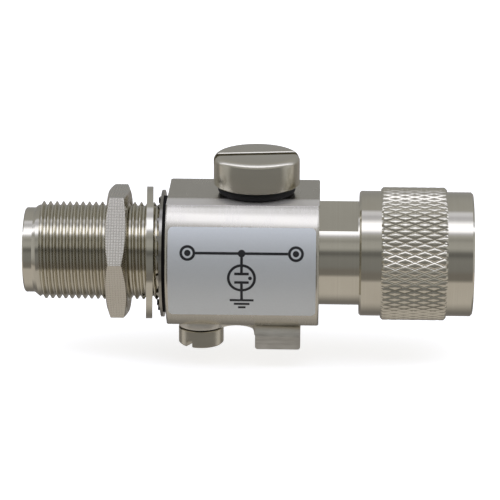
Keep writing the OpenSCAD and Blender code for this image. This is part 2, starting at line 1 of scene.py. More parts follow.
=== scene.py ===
# %% [markdown]
# # An in-line coaxial lightning arrestor
# The arrestor is a short round-bar body with a threaded jack at one end and a plug
# with a knurled coupling nut at the other. The solid model gives every piece its
# place and size. This lesson keeps the solids whose shape is already right, remakes
# the few that carry a thread or a knurl, and gives every piece a finish.

# %% Load the frame
import math

import bmesh
import bpy
from mathutils import Matrix, Quaternion, Vector


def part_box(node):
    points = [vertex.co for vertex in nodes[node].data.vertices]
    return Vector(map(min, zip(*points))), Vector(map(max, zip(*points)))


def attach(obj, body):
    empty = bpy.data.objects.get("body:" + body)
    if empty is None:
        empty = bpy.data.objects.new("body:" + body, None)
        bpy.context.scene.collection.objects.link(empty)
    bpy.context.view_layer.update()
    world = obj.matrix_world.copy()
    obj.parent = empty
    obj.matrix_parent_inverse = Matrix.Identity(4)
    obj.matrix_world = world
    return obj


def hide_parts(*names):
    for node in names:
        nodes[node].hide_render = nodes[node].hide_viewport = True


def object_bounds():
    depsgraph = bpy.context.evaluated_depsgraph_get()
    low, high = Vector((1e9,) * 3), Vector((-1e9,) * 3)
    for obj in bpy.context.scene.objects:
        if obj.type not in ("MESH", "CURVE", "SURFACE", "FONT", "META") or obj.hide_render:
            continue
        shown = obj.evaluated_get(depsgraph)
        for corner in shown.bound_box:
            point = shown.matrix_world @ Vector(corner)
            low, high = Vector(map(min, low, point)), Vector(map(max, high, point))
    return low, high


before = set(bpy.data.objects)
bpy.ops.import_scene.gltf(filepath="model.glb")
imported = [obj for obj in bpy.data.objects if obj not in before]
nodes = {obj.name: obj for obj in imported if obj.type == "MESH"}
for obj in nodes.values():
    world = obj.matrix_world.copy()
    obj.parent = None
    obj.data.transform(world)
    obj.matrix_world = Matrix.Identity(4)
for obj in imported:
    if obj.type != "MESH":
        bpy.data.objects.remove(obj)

MM = 0.001
cad_low, cad_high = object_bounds()
print("solid model, mm:", [round(v / MM, 2) for v in cad_high - cad_low])

# %% [markdown]
# ## The camera
# The photograph was taken with a long lens from the front, a little above the line's
# axis. The angles and the distance below were worked out from the edges of the
# turned pieces, whose diameters are known. Building the camera from angles keeps
# each number readable: turn, height, roll, distance.

# %% Camera
camera_target = Vector((13.178, 0, 0.315)) * MM
camera_turn = math.radians(1.754)
camera_height = math.radians(17.337)
camera_roll = math.radians(0.118)
camera_distance = 453.67 * MM

camera_data = bpy.data.cameras.new("photo_camera")
camera_data.sensor_width = 36
camera_data.lens = 200.74
camera = bpy.data.objects.new("photo_camera", camera_data)
bpy.context.scene.collection.objects.link(camera)
towards_camera = Vector((
    math.sin(camera_turn) * math.cos(camera_height),
    -math.cos(camera_turn) * math.cos(camera_height),
    math.sin(camera_height),
))
camera.location = camera_target + camera_distance * towards_camera
camera.rotation_mode = "QUATERNION"
camera.rotation_quaternion = (
    (-towards_camera).to_track_quat("-Z", "Y") @ Quaternion((0, 0, 1), camera_roll)
)
bpy.context.scene.camera = camera
print("camera at, mm:", [round(v / MM, 1) for v in camera.location])

# %% [markdown]
# ## Two small helpers
# Colours are written as sRGB hex, the way a picture editor shows them, and shaders
# want linear light, so one function turns the one into the other. The second helper
# adds a shader node, sets its options, and sets or links its inputs.

# %% Colour and node helpers
def linear(hex_colour):
    channels = [int(hex_colour[i:i + 2], 16) / 255 for i in (1, 3, 5)]
    return [c / 12.92 if c <= 0.04045 else ((c + 0.055) / 1.055) ** 2.4 for c in channels] + [1]


def add_node(tree, kind, inputs=None, **options):
    node = tree.nodes.new(kind)
    for name, value in options.items():
        setattr(node, name, value)
    for name, value in (inputs or {}).items():
        if isinstance(value, bpy.types.NodeSocket):
            tree.links.new(value, node.inputs[name])
        else:
            node.inputs[name].default_value = value
    return node


print("mid grey in linear light:", round(linear("#808080")[0], 3))

# %% [markdown]
# ## The studio
# Polished metal has hardly any look of its own: it shows the room. The room here is
# a light tent: a long soft box above and behind, pale walls, a table below and a darker
# side where the camera stands. Lamps could do this, but a sky whose level depends on the
# angle round the line's axis is smoother and has no noise. Each stop is an angle in
# degrees, 0 towards the camera and 90 straight up, with a level. The lamp is a little
# cool and the table a little warm, as on a bench by a window. The bands curve towards
# the tent's ends, so that upright pieces such as the cap mirror something else at their
# sides than in the middle.

# %% Light tent
tent_levels = [
    (-180, 0.33), (-130, 0.18), (-118, 0.22), (-109, 0.29), (-97, 0.43), (-86, 0.53),
    (-38, 0.53), (-35.5, 0.36), (-32, 0.21), (-22, 0.20), (-12, 0.24), (5, 0.25), (10, 0.21),
    (14, 0.15), (19, 0.18), (23, 0.35), (28, 0.46), (37, 0.44), (43, 0.35), (50, 0.48),
    (55, 0.70), (58, 1.40), (62, 1.90), (73, 1.80), (82, 0.72), (88, 0.64), (94, 0.85),
    (99, 0.85), (104, 0.43), (135, 0.40), (158, 0.34), (180, 0.33),
]
warm_table, cool_lamp, plain_wall = (1.05, 0.99, 0.94), (0.97, 0.99, 1.14), (1, 1, 1)
table_below, lamp_above = -20, 0.6
tent_peak = max(cool_lamp) * max(level for angle, level in tent_levels)
band_curve = 0.5

world = bpy.data.worlds.new("light_tent")
bpy.context.scene.world = world
world.use_nodes = True
sky = world.node_tree
sky.nodes.clear()
direction = add_node(sky, "ShaderNodeTexCoord").outputs["Generated"]
turned_round = add_node(
    sky, "ShaderNodeVectorMath", {0: direction, 1: (1, -1, 1)}, operation="MULTIPLY")
split = add_node(sky, "ShaderNodeSeparateXYZ", {"Vector": turned_round.outputs[0]})
along = add_node(
    sky, "ShaderNodeMath", {0: split.outputs["X"], 1: split.outputs["X"]}, operation="MULTIPLY")
towards = add_node(
    sky, "ShaderNodeMath", {0: along.outputs[0], 1: band_curve, 2: split.outputs["Y"]},
    operation="MULTIPLY_ADD")
angle = add_node(
    sky, "ShaderNodeMath", {0: split.outputs["Z"], 1: towards.outputs[0]}, operation="ARCTAN2")
share = add_node(
    sky, "ShaderNodeMath", {0: angle.outputs[0], 1: 1 / math.tau, 2: 0.5},
    operation="MULTIPLY_ADD")
tent = add_node(sky, "ShaderNodeValToRGB", {"Fac": share.outputs[0]})
stops = tent.color_ramp.elements
while len(stops) < len(tent_levels):
    stops.new(0.5)
for stop, (degrees, level) in zip(stops, tent_levels):
    tint = warm_table if degrees < table_below else cool_lamp if level > lamp_above else plain_wall
    stop.position = degrees / 360 + 0.5
    stop.color = [level * t / tent_peak for t in tint] + [1]
print("light tent with", len(tent_levels), "stops, brightest", round(tent_peak, 2))

# %% [markdown]
# ## The tent's ends and the white page
# An even wall closes each end of the tent. The camera itself looks past the tent on to a
# white page: a light path node tells the camera's own rays from the mirrored ones, so
# the page is white in the picture and puts no more light on the metal.

# %% End walls and white page
wall_level, wall_starts, wall_full = 0.5, 0.92, 0.99
sideways = add_node(sky, "ShaderNodeMath", {0: split.outputs["X"]}, operation="ABSOLUTE")
wall_share = add_node(
    sky, "ShaderNodeMapRange",
    {"Value": sideways.outputs[0], "From Min": wall_starts, "From Max": wall_full},
    interpolation_type="SMOOTHSTEP")
tent_and_walls = add_node(
    sky, "ShaderNodeMix",
    {0: wall_share.outputs[0], 6: tent.outputs["Color"], 7: [wall_level / tent_peak] * 3 + [1]},
    data_type="RGBA")
tent_light = add_node(
    sky, "ShaderNodeBackground", {"Color": tent_and_walls.outputs[2], "Strength": tent_peak})
white_page = add_node(sky, "ShaderNodeBackground", {"Color": (1, 1, 1, 1), "Strength": 1})
seen = add_node(sky, "ShaderNodeLightPath").outputs["Is Camera Ray"]
either = add_node(
    sky, "ShaderNodeMixShader",
    {0: seen, 1: tent_light.outputs[0], 2: white_page.outputs[0]})
add_node(sky, "ShaderNodeOutputWorld", {"Surface": either.outputs[0]})
bpy.context.scene.view_settings.view_transform = "Standard"
print("world has", len(sky.nodes), "nodes")

# %% [markdown]
# ## The floor
# The arrestor is held over a pale table, which lies below the lowest point that the
# ground screw reaches when it is undone. The lit table alone would come out light grey,
# so what the camera sees gets a little glow that lifts the open table to white and
# still leaves the soft shadow under the arrestor. The metal shows the tent's own
# table level, so the floor is left out of reflections.

# %% Floor
screw_travel = 3.15 * MM
floor_gap = screw_travel + 0.25 * MM
floor_half = 2.0
floor_glow = 0.7
floor_z = cad_low.z - floor_gap
floor_mesh = bpy.data.meshes.new("floor")
floor_mesh.from_pydata(
    [(-floor_half, -floor_half, floor_z), (floor_half, -floor_half, floor_z),
     (floor_half, floor_half, floor_z), (-floor_half, floor_half, floor_z)],
    [], [(0, 1, 2, 3)])
floor = bpy.data.objects.new("floor", floor_mesh)
bpy.context.scene.collection.objects.link(floor)
floor.visible_glossy = False

floor_paint = bpy.data.materials.new("pale_table_paint")
floor_paint.use_nodes = True
tree = floor_paint.node_tree
tree.nodes.clear()
paint = add_node(tree, "ShaderNodeBsdfDiffuse", {"Color": linear("#e6e6e6")})
seen = add_node(tree, "ShaderNodeLightPath").outputs["Is Camera Ray"]
lift = add_node(tree, "ShaderNodeMath", {0: seen, 1: floor_glow}, operation="MULTIPLY")
glow = add_node(
    tree, "ShaderNodeEmission", {"Color": (1, 1, 1, 1), "Strength": lift.outputs[0]})
both = add_node(tree, "ShaderNodeAddShader", {0: paint.outputs[0], 1: glow.outputs[0]})
add_node(tree, "ShaderNodeOutputMaterial", {"Surface": both.outputs[0]})
floor_mesh.materials.append(floor_paint)
print("floor at z, mm:", round(floor_z / MM, 2))

# %% [markdown]
# ## Nickel plate on turned brass
# Most of the arrestor is brass turned on a lathe and plated with satin nickel. The
# plate is a warm grey and mirrors the room a little softly. The tool leaves rings
# round the axis it was turned about. The real rings are about 0.1 mm apart, too fine
# for this picture, so they are drawn 0.3 mm apart. A slow change in tone and gloss
# stands for the plate's thickness and for handling. One recipe serves every metal here.

# %% Plated metal
cloud_size = 6 * MM
wear_low, wear_high = 0.1, 0.45


def plated_metal(name, light, dark, gloss, tool_line, line_depth, grain):
    """grain is the direction across the tool lines; tool_line and line_depth are in mm."""
    metal = bpy.data.materials.new(name)
    metal.use_nodes = True
    tree = metal.node_tree
    shader = tree.nodes["Principled BSDF"]
    place = add_node(tree, "ShaderNodeTexCoord").outputs["Object"]
    across = add_node(
        tree, "ShaderNodeMapping",
        {"Vector": place, "Scale": [g / (tool_line * MM) for g in grain]})
    lines = add_node(
        tree, "ShaderNodeTexNoise",
        {"Vector": across.outputs[0], "Scale": 1, "Detail": 3, "Roughness": 0.6})
    clouds = add_node(
        tree, "ShaderNodeTexNoise",
        {"Vector": place, "Scale": 1 / cloud_size, "Detail": 2, "Roughness": 0.5})
    mixed = add_node(
        tree, "ShaderNodeMath", {0: lines.outputs["Fac"], 1: clouds.outputs["Fac"]},
        operation="MULTIPLY")
    wear = add_node(
        tree, "ShaderNodeMapRange",
        {"Value": mixed.outputs[0], "From Min": wear_low, "From Max": wear_high})
    tone = add_node(
        tree, "ShaderNodeMix",
        {0: wear.outputs[0], 6: linear(dark), 7: linear(light)}, data_type="RGBA")
    rough = add_node(
        tree, "ShaderNodeMapRange",
        {"Value": wear.outputs[0], "To Min": gloss[0], "To Max": gloss[1]})
    bump = add_node(
        tree, "ShaderNodeBump",
        {"Height": lines.outputs["Fac"], "Strength": 1, "Distance": line_depth * MM})
    tree.links.new(tone.outputs[2], shader.inputs["Base Color"])
    tree.links.new(rough.outputs[0], shader.inputs["Roughness"])
    tree.links.new(bump.outputs[0], shader.inputs["Normal"])
    shader.inputs["Metallic"].default_value = 1
    return metal


print("plated metal recipe ready, clouds of", cloud_size / MM, "mm")

# %% [markdown]
# ## Screw threads
# A thread is cut on the lathe with a pointed tool that moves along by one pitch a turn.
# A plain sweep round the axis can't give it, because its ridge climbs. It is laid as a
# ribbon that winds round the axis and rises by one pitch a turn. Where the ribbon runs
# past its end it is pressed on to the end ring, as a chamfer cuts the first turn of a
# real thread. Two placing functions say where a point of a turned piece goes: along the
# line, or standing up.

# %% Thread ribbon
# A 60 degree thread, in pitches: crest flat an eighth, root flat a quarter
ridge = [(0, 1), (0.125, 1), (0.4375, 0), (0.6875, 0), (1, 1)]
thread_height = 0.5413


def along_line(s, r, turn):
    return Vector((s, r * math.cos(turn), r * math.sin(turn))) * MM


def upright(x, y):
    def place(s, r, turn):
        return Vector((x + r * math.cos(turn), y + r * math.sin(turn), s)) * MM
    return place


def thread_ribbon(mesh, place, ends, thread, steps, lead=1):
    """ends are two (station, radius) points; lead is the slope of the cones at the ends."""
    pitch, root, crest = thread
    start, end = sorted(ends)
    side = 1 if crest > root else -1
    turns = (end[0] - start[0]) / pitch + 2
    ribbon = []
    for step in range(math.ceil(turns * steps) + 1):
        row = []
        for phase, height in ridge:
            s = start[0] + pitch * (step / steps - 1 + phase)
            s = min(max(s, start[0]), end[0])
            reach = side * root + height * abs(crest - root)
            reach = min(reach, side * start[1] + lead * (s - start[0]),
                        side * end[1] + lead * (end[0] - s))
            row.append(mesh.verts.new(place(s, side * reach, math.tau * step / steps)))
        ribbon.append(row)
    for here, there in zip(ribbon, ribbon[1:]):
        for k in range(len(ridge) - 1):
            mesh.faces.new((here[k], here[k + 1], there[k + 1], there[k]))


def outside_thread(pitch, crest):
    """Pitch, root and crest radius."""
    return pitch, crest - thread_height * pitch, crest


print("a thread is", thread_height, "of its pitch high")

# %% [markdown]
# ## The lathe
# A lathe makes shapes by sweeping an outline round an axis, and so does this cell: each
# outline point becomes a ring of corners, and rings are joined by faces. Blender has a
# screw modifier for plain sweeps, but here a radius may also change round the ring,
# which the knurl needs, and a stretch of the outline may carry a thread.

# %% Turning an outline
join_gap = 0.0005 * MM


def finished(name, mesh, crease=28):
    """Turns the working mesh into an object, smooth except across real edges."""
    data = bpy.data.meshes.new(name)
    mesh.to_mesh(data)
    mesh.free()
    data.polygons.foreach_set("use_smooth", [True] * len(data.polygons))
    data.set_sharp_from_angle(angle=math.radians(crease))
    piece = bpy.data.objects.new(name, data)
    bpy.context.scene.collection.objects.link(piece)
    return piece


def turned(name, outline, place, threads=None, steps=96, closed=True, lead=1):
    """outline holds (station, radius) points in mm; a radius may be a function of the turn.
    threads holds, under an outline point's number, the thread that runs to the next point."""
    threads = threads or {}
    mesh = bmesh.new()
    turns = [math.tau * i / steps for i in range(steps)]
    radii = [[r(t) if callable(r) else r for t in turns] for s, r in outline]
    rings = [[mesh.verts.new(place(point[0], r, t)) for r, t in zip(row, turns)]
             for point, row in zip(outline, radii)]
    last = len(outline) if closed else len(outline) - 1
    for a in range(last):
        b = (a + 1) % len(outline)
        if a in threads:
            thread_ribbon(mesh, place, (outline[a], outline[b]), threads[a], steps, lead)
            continue
        for i in range(steps):
            j = (i + 1) % steps
            corners = [rings[a][i], rings[a][j], rings[b][j], rings[b][i]]
            # A bent face is cut between its two most level corners, and along the lower
            # pair if both pairs are level, so that every groove has a straight floor
            pairs = (radii[a][i], radii[b][j]), (radii[a][j], radii[b][i])
            rank = [(round(abs(p - q), 4), round(p + q, 4)) for p, q in pairs]
            if rank[0] > rank[1]:
                corners = corners[1:] + corners[:1]
            if rank[0] == rank[1]:
                mesh.faces.new(corners)
            else:
                mesh.faces.new((corners[0], corners[1], corners[2]))
                mesh.faces.new((corners[0], corners[2], corners[3]))
    bmesh.ops.remove_doubles(mesh, verts=mesh.verts, dist=join_gap)
    bmesh.ops.dissolve_degenerate(mesh, edges=mesh.edges, dist=join_gap)
    bmesh.ops.recalc_face_normals(mesh, faces=mesh.faces)
    return finished(name, mesh)


def fit(piece, body, slot, material, *replaced):
    """Puts a piece on its body, gives it its finish, and hides the solid it stands for."""
    piece.data.materials.clear()
    piece.data.materials.append(material)
    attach(piece, body)
    if replaced:
        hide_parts(*replaced)
    print(piece.name, "has", len(piece.data.polygons), "faces")


print("lathe ready, corners closer than", round(join_gap / MM, 4), "mm are joined")

# %% [markdown]
# ## The jack's barrel
# The barrel is a brass tube with a plain lip, a long 24-to-the-inch thread, and the
# socket for the mating plug in its mouth. Its bright and dark stripes come from the
# thread's flanks, which a painted pattern can't give, so the thread is cut as shape. In
# the thread's roots the colour is painted darker, as painted shade in the grooves: its
# tone follows the distance from the root's radius.

# %% Threaded barrel
# Painted shade in the thread's roots: the tone at the root, and the share of the thread's height it
# fades over
root_shade, root_reach = 0.90, 0.75


def paint_root_shade(metal, thread):
    """Paints shade into a metal turned along the line: darker towards its thread's root radius."""
    root, crest = thread[1:]
    tree = metal.node_tree
    shader = tree.nodes["Principled BSDF"]
    place = add_node(tree, "ShaderNodeTexCoord").outputs["Object"]
    off_line = add_node(
        tree, "ShaderNodeVectorMath", {0: place, 1: (0, 1, 1)}, operation="MULTIPLY")
    radius = add_node(
        tree, "ShaderNodeVectorMath", {0: off_line.outputs[0]}, operation="LENGTH")
    off_root = add_node(
        tree, "ShaderNodeMath", {0: radius.outputs["Value"], 1: root * MM}, operation="SUBTRACT")
    height = add_node(tree, "ShaderNodeMath", {0: off_root.outputs[0]}, operation="ABSOLUTE")
    shade = add_node(
        tree, "ShaderNodeMapRange",
        {"Value": height.outputs[0], "From Max": root_reach * (crest - root) * MM,
         "To Min": root_shade, "To Max": 1})
    tone = add_node(
        tree, "ShaderNodeMix",
        {0: 1, 6: shader.inputs["Base Color"].links[0].from_socket, 7: shade.outputs[0]},
        data_type="RGBA", blend_type="MULTIPLY")
    tree.links.new(tone.outputs[2], shader.inputs["Base Color"])


barrel_low, barrel_high = (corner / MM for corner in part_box("jack_barrel"))
jack_end, shank_end, crest_r = barrel_low.x, barrel_high.x, barrel_high.z
line_pitch = 25.4 / 24
barrel_thread = outside_thread(line_pitch, crest_r)
# Satin nickel on a cut thread: warm grey, with the tent in thin stripes on every flank
satin_thread = plated_metal(
    "satin_nickel_on_cut_thread", "#d8d4c5", "#cfcabb", (0.09, 0.16), 0.30, 0.001, (1, 0, 0))
# Painted shade in the thread's roots
paint_root_shade(satin_thread, barrel_thread)
lip_r, lip_end, lip_bevel, cone_run = 6.9, jack_end + 1.55, 0.2, 1.3
socket_r, socket_floor, socket_bevel = 4.05, jack_end + 9.1, 0.4
shank_r, line_r = 5.2, 3.5
barrel = turned(
    "threaded_barrel",
    [(jack_end, socket_r + socket_bevel), (jack_end, lip_r - lip_bevel),
     (jack_end + lip_bevel, lip_r), (lip_end, lip_r), (0, barrel_thread[1]), (0, shank_r),
     (shank_end, shank_r), (shank_end, line_r), (socket_floor, line_r), (socket_floor, socket_r),
     (jack_end + socket_bevel, socket_r)],
    along_line, {3: barrel_thread}, lead=(crest_r - lip_r) / cone_run)
fit(barrel, "arrestor", "satin_nickel", satin_thread, "jack_barrel")

# %% [markdown]
# ## The knurl
# The coupling nut's band has a coarse diamond knurl for the fingers, pressed in by two
# slanting rollers: two families of V grooves that cross. A bump texture would leave the
# band's outline smooth, so the grooves are shape. For each corner of the band the deeper
# of the two grooves counts, and a power keeps the land between grooves nearly flat and
# steepens it towards them. The corners lie on the grooves' own lattice, so the edges
# come out straight with few faces.

# %% Diamond knurl
diamonds_round = 55
diamond_len = 3.1
knurl_depth = 0.20
land_crown = 2.8
rows_per_diamond = 8
steps_per_diamond = 8

nut_low, nut_high = (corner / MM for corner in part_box("coupling_nut"))
knurl_r = nut_high.z
collar_end, band_end = nut_low.x + 3.5, nut_high.x - 4.25
band_mid = (collar_end + band_end) / 2
band_bevel = 0.35


def saw(value):
    """1 on a groove's line, falling to 0 half-way to the next."""
    return 2 * abs(value % 1 - 0.5)


def knurl_radius(s):
    def radius(turn):
        around, along = turn / math.tau * diamonds_round, (s - band_mid) / diamond_len
        groove = max(saw(around + along), saw(around - along))
        bevel = max(0, collar_end + band_bevel - s, s - band_end + band_bevel)
        return knurl_r - max(knurl_depth * groove ** land_crown, bevel)
    return radius


row_step = diamond_len / rows_per_diamond
half_rows = int((band_end - band_mid - band_bevel) / row_step)
band_rows = [band_mid + row_step * i for i in range(-half_rows, half_rows + 1)]
band_rows = [collar_end, collar_end + band_bevel] + band_rows + [band_end - band_bevel, band_end]
print("knurl with", diamonds_round, "diamonds round and", len(band_rows), "rows")

# %% [markdown]
# ## The coupling nut
# Behind the knurled band the nut has a plain collar and in front a plain ring. A groove
# inside the collar holds the ring that keeps the nut on the neck, and the mouth has the
# thread that draws the mating jack in. The whole nut is one outline, from the hole at
# the rear, over the outside and back through the mouth.

# %% Coupling nut
# Satin nickel on turned brass: warm grey, and the tent's bands stay sharp along the line
satin_line = plated_metal(
    "satin_nickel_on_turned_brass", "#d8d4c5", "#cfcabb", (0.07, 0.13), 0.30, 0.001, (1, 0, 0))

collar_r, front_r, rim_bevel = 10.15, 10.075, 0.3
hole_r, mouth_r, mouth_floor, mouth_relief = 8.485, 8.0575, nut_high.x - 10.9, 1.6
ring_room, ring_room_r = (nut_low.x + 1.94, nut_low.x + 2.96), 9.145
rear = [(nut_low.x, hole_r), (nut_low.x, collar_r - rim_bevel), (nut_low.x + rim_bevel, collar_r),
        (collar_end, collar_r)]
band = [(s, knurl_radius(s)) for s in band_rows]
front = [(band_end, front_r), (nut_high.x - rim_bevel, front_r),
         (nut_high.x, front_r - rim_bevel), (nut_high.x, mouth_r + socket_bevel),
         (nut_high.x - socket_bevel, mouth_r), (mouth_floor + mouth_relief, mouth_r),
         (mouth_floor, mouth_r), (mouth_floor, hole_r), (ring_room[1], hole_r),
         (ring_room[1], ring_room_r), (ring_room[0], ring_room_r), (ring_room[0], hole_r)]
mouth_thread = (line_pitch, mouth_r, mouth_r - thread_height * line_pitch)
thread_start = len(rear) + len(band) + front.index((nut_high.x - socket_bevel, mouth_r))
coupling = turned(
    "knurled_coupling_nut", rear + band + front, along_line, {thread_start: mouth_thread},
    steps=diamonds_round * steps_per_diamond)
fit(coupling, "coupling", "satin_nickel", satin_line, "coupling_nut")

# %% [markdown]
# ## Slots for a driver
# The cap and the ground screw each have a slot that a thin saw cut straight through
# their round head. A lathe outline can't hold a straight slot, so it is cut out of the
# turned piece with a boolean. The cutter flares at the head's face, which breaks the
# slot's edges as a file does: that edge is the bright line along the slot.

# %% Slot cutter
broken_edge, flare, half_length = 0.12, 1, 20


def slotted(piece, centre, width, turn, face, floor):
    """Cuts a straight slot, with broken edges, from a head's face to a floor; heights in mm."""
    half = width / 2
    wide = half + broken_edge + flare
    outwards = 1 if face > floor else -1
    shoulder, above = face - outwards * broken_edge, face + outwards * flare
    profile = [(-half, floor), (half, floor), (half, shoulder),
               (wide, above), (-wide, above), (-half, shoulder)]
    cutter_mesh = bpy.data.meshes.new("slot_cutter")
    shape = bmesh.new()
    ends = [[shape.verts.new(Vector((x, y, z)) * MM) for y, z in profile]
            for x in (-half_length, half_length)]
    for end in ends:
        shape.faces.new(end)
    for i in range(len(profile)):
        j = (i + 1) % len(profile)
        shape.faces.new((ends[0][i], ends[0][j], ends[1][j], ends[1][i]))
    bmesh.ops.recalc_face_normals(shape, faces=shape.faces)
    shape.to_mesh(cutter_mesh)
    shape.free()
    cutter = bpy.data.objects.new("slot_cutter", cutter_mesh)
    bpy.context.scene.collection.objects.link(cutter)
    cutter.matrix_world = (
        Matrix.Translation(Vector((*centre, 0)) * MM)
        @ Matrix.Rotation(math.radians(turn), 4, "Z"))
    cut = piece.modifiers.new("slot", "BOOLEAN")
    cut.object = cutter
    cut.operation = "DIFFERENCE"
    cut.solver = "EXACT"
    bpy.context.view_layer.update()
    shown = piece.evaluated_get(bpy.context.evaluated_depsgraph_get())
    shape = bmesh.new()
    shape.from_mesh(shown.to_mesh())
    name = piece.name
    for used in (cutter, piece):
        data = used.data
        bpy.data.objects.remove(used)
        bpy.data.meshes.remove(data)
    return finished(name, shape)


print("slots get edges broken by", broken_edge, "mm")

# %% [markdown]
# ## The cap
# The cap screws down over the gas tube. It is turned like the barrel, but standing up: a
# hollow cup with a fine thread below, and a thick head with a well rounded top edge,
# which catches the lamp as a bright crescent.

# %% Slotted cap
# Satin nickel on turned caps: a softer blur than along the line, from fine emery cloth
satin_upright = plated_metal(
    "satin_nickel_on_turned_caps", "#d8d4c5", "#cfcabb", (0.18, 0.28), 0.30, 0.001, (0, 0, 1))

cap_low, cap_high = (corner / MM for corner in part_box("tube_cap"))
cap_x, cap_r = (cap_low.x + cap_high.x) / 2, cap_high.y
cup_bottom, cap_top = cap_low.z, cap_high.z
cap_under, cup_ceiling, cup_r = cap_top - 5, cup_bottom + 3.53, 4.12
cap_round, cap_bevel, cap_neck = 1.1, 0.2, 0.6
cap_slot_width, cap_slot_depth, cap_slot_turn = 1.6, 1.5, 7
cap_thread = outside_thread(0.75, 5.0)
round_steps = 6
round_edge = [
    (cap_top - cap_round + cap_round * math.sin(a), cap_r - cap_round + cap_round * math.cos(a))
    for a in (math.radians(90 / round_steps * i) for i in range(round_steps + 1))]
cap = turned(
    "slotted_cap",
    [(cup_ceiling, 0), (cup_ceiling, cup_r), (cup_bottom, cup_r), (cup_bottom, cap_thread[1]),
     (cap_under - cap_neck, cap_thread[1]), (cap_under, cap_thread[1]),
     (cap_under, cap_r - cap_bevel), (cap_under + cap_bevel, cap_r)]
    + round_edge + [(cap_top, 0)],
    upright(cap_x, 0), {3: cap_thread}, closed=False)
cap = slotted(cap, (cap_x, 0), cap_slot_width, cap_slot_turn, cap_top, cap_top - cap_slot_depth)
fit(cap, "cap", "satin_nickel", satin_upright, "tube_cap")

# %% [markdown]
# ## The ground screw
# The ground screw hangs head down under the body and holds the lug. It has a straight
# cheese head, and its thread shows when the screw is undone.

# %% Slotted ground screw
screw_low, screw_high = (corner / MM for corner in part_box("ground_screw"))
screw_x, screw_y = (screw_low.x + screw_high.x) / 2, (screw_low.y + screw_high.y) / 2
head_r, head_low, screw_tip = (screw_high.x - screw_low.x) / 2, screw_low.z, screw_high.z
head_top, head_bevel, screw_neck, tip_bevel = head_low + 2.75, 0.2, 0.4, 0.1
screw_slot_width, screw_slot_depth, screw_slot_turn = 1.1, 1.1, 60
screw_thread = outside_thread(0.7, 2.0)
screw = turned(
    "slotted_ground_screw",
    [(head_low, 0), (head_low, head_r - head_bevel), (head_low + head_bevel, head_r),
     (head_top - head_bevel / 2, head_r), (head_top, head_r - head_bevel / 2),
     (head_top, screw_thread[1]), (head_top + screw_neck, screw_thread[1]),
     (screw_tip, screw_thread[1] - tip_bevel), (screw_tip, 0)],
    upright(screw_x, screw_y), {6: screw_thread}, steps=64, closed=False)
screw = slotted(
    screw, (screw_x, screw_y), screw_slot_width, screw_slot_turn, head_low, head_low + screw_slot_depth)
fit(screw, "screw", "satin_nickel", satin_upright, "ground_screw")

# %% [markdown]
# ## The label's print
# The silver film on the front carries a plain circuit drawing: the line runs straight
# through, and a gas tube bridges it to earth. Ink is a thin layer, so the drawing is
# made as flat strips and rings that are wrapped on the label's own cylinder, just
# proud of the film.

# %% Ink strips and rings
label_low, label_high = (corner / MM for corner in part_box("label"))
label_x = (label_low.x + label_high.x) / 2
ink_lift = 0.02
ink_r = -label_low.y + ink_lift
ink = bmesh.new()


def wrapped(x, up):
    """A point of the drawing, measured from the label's middle, laid on the cylinder."""
    turn = up / ink_r
    return Vector((label_x + x, -ink_r * math.cos(turn), ink_r * math.sin(turn))) * MM


def ink_strip(x_from, x_to, up_from, up_to, slices=12):
    rows = [up_from + (up_to - up_from) * i / slices for i in range(slices + 1)]
    pairs = [(ink.verts.new(wrapped(x_from, u)), ink.verts.new(wrapped(x_to, u))) for u in rows]
    for (a, b), (d, c) in zip(pairs, pairs[1:]):
        ink.faces.new((a, b, c, d))


def ink_ring(x, up, outer, inner, slices=48):
    turns = [math.tau * i / slices for i in range(slices)]
    rims = [[ink.verts.new(wrapped(x + r * math.cos(t), up + r * math.sin(t))) for t in turns]
            for r in (outer, inner)]
    for i in range(slices):
        j = (i + 1) % slices
        ink.faces.new((rims[0][i], rims[0][j], rims[1][j], rims[1][i]))


print("ink lies at radius, mm:", round(ink_r, 2))

# %% [markdown]
# ## The circuit drawing
# The drawing has a ring and a dot for each connector, the line between them, a dot where
# the gas tube branches off, the tube as a ring with two plates and a dot for its gas,
# and the three bars of the earth sign. All places are measured from the label's middle.

# %% Printed circuit drawing
pen, pinhole = 0.42, 0.02
line_up, tube_up, earth_up = 3.6, -0.4, -4.4
port_x, port_ring, port_dot, branch_dot = 8.6, 1.25, 0.5, 0.6
tube_ring, plate_half, plate_up, lead_gap = 2.3, 1.15, 0.72, 0.5
gas_x, gas_dot = 1.35, 0.3
earth_bars = ((1.9, 0), (1.25, 0.75), (0.6, 1.5))
ink_strip(-port_x + port_ring, port_x - port_ring, line_up - pen / 2, line_up + pen / 2)
for side in (-1, 1):
    ink_ring(side * port_x, line_up, port_ring, port_ring - pen)
    ink_ring(side * port_x, line_up, port_dot, pinhole)
ink_ring(0, line_up, branch_dot, pinhole)
ink_strip(-pen / 2, pen / 2, tube_up + lead_gap, line_up - pen / 2)
ink_ring(0, tube_up, tube_ring, tube_ring - pen)
for side in (-1, 1):
    plate = tube_up + side * plate_up
    ink_strip(-plate_half, plate_half, plate - pen / 2, plate + pen / 2)
ink_ring(gas_x, tube_up, gas_dot, pinhole)
ink_strip(-pen / 2, pen / 2, earth_up, tube_up - lead_gap)
for half_width, drop in earth_bars:
    ink_strip(-half_width, half_width, earth_up - drop - pen / 2, earth_up - drop + pen / 2)
drawing = finished("label_circuit_drawing", ink)

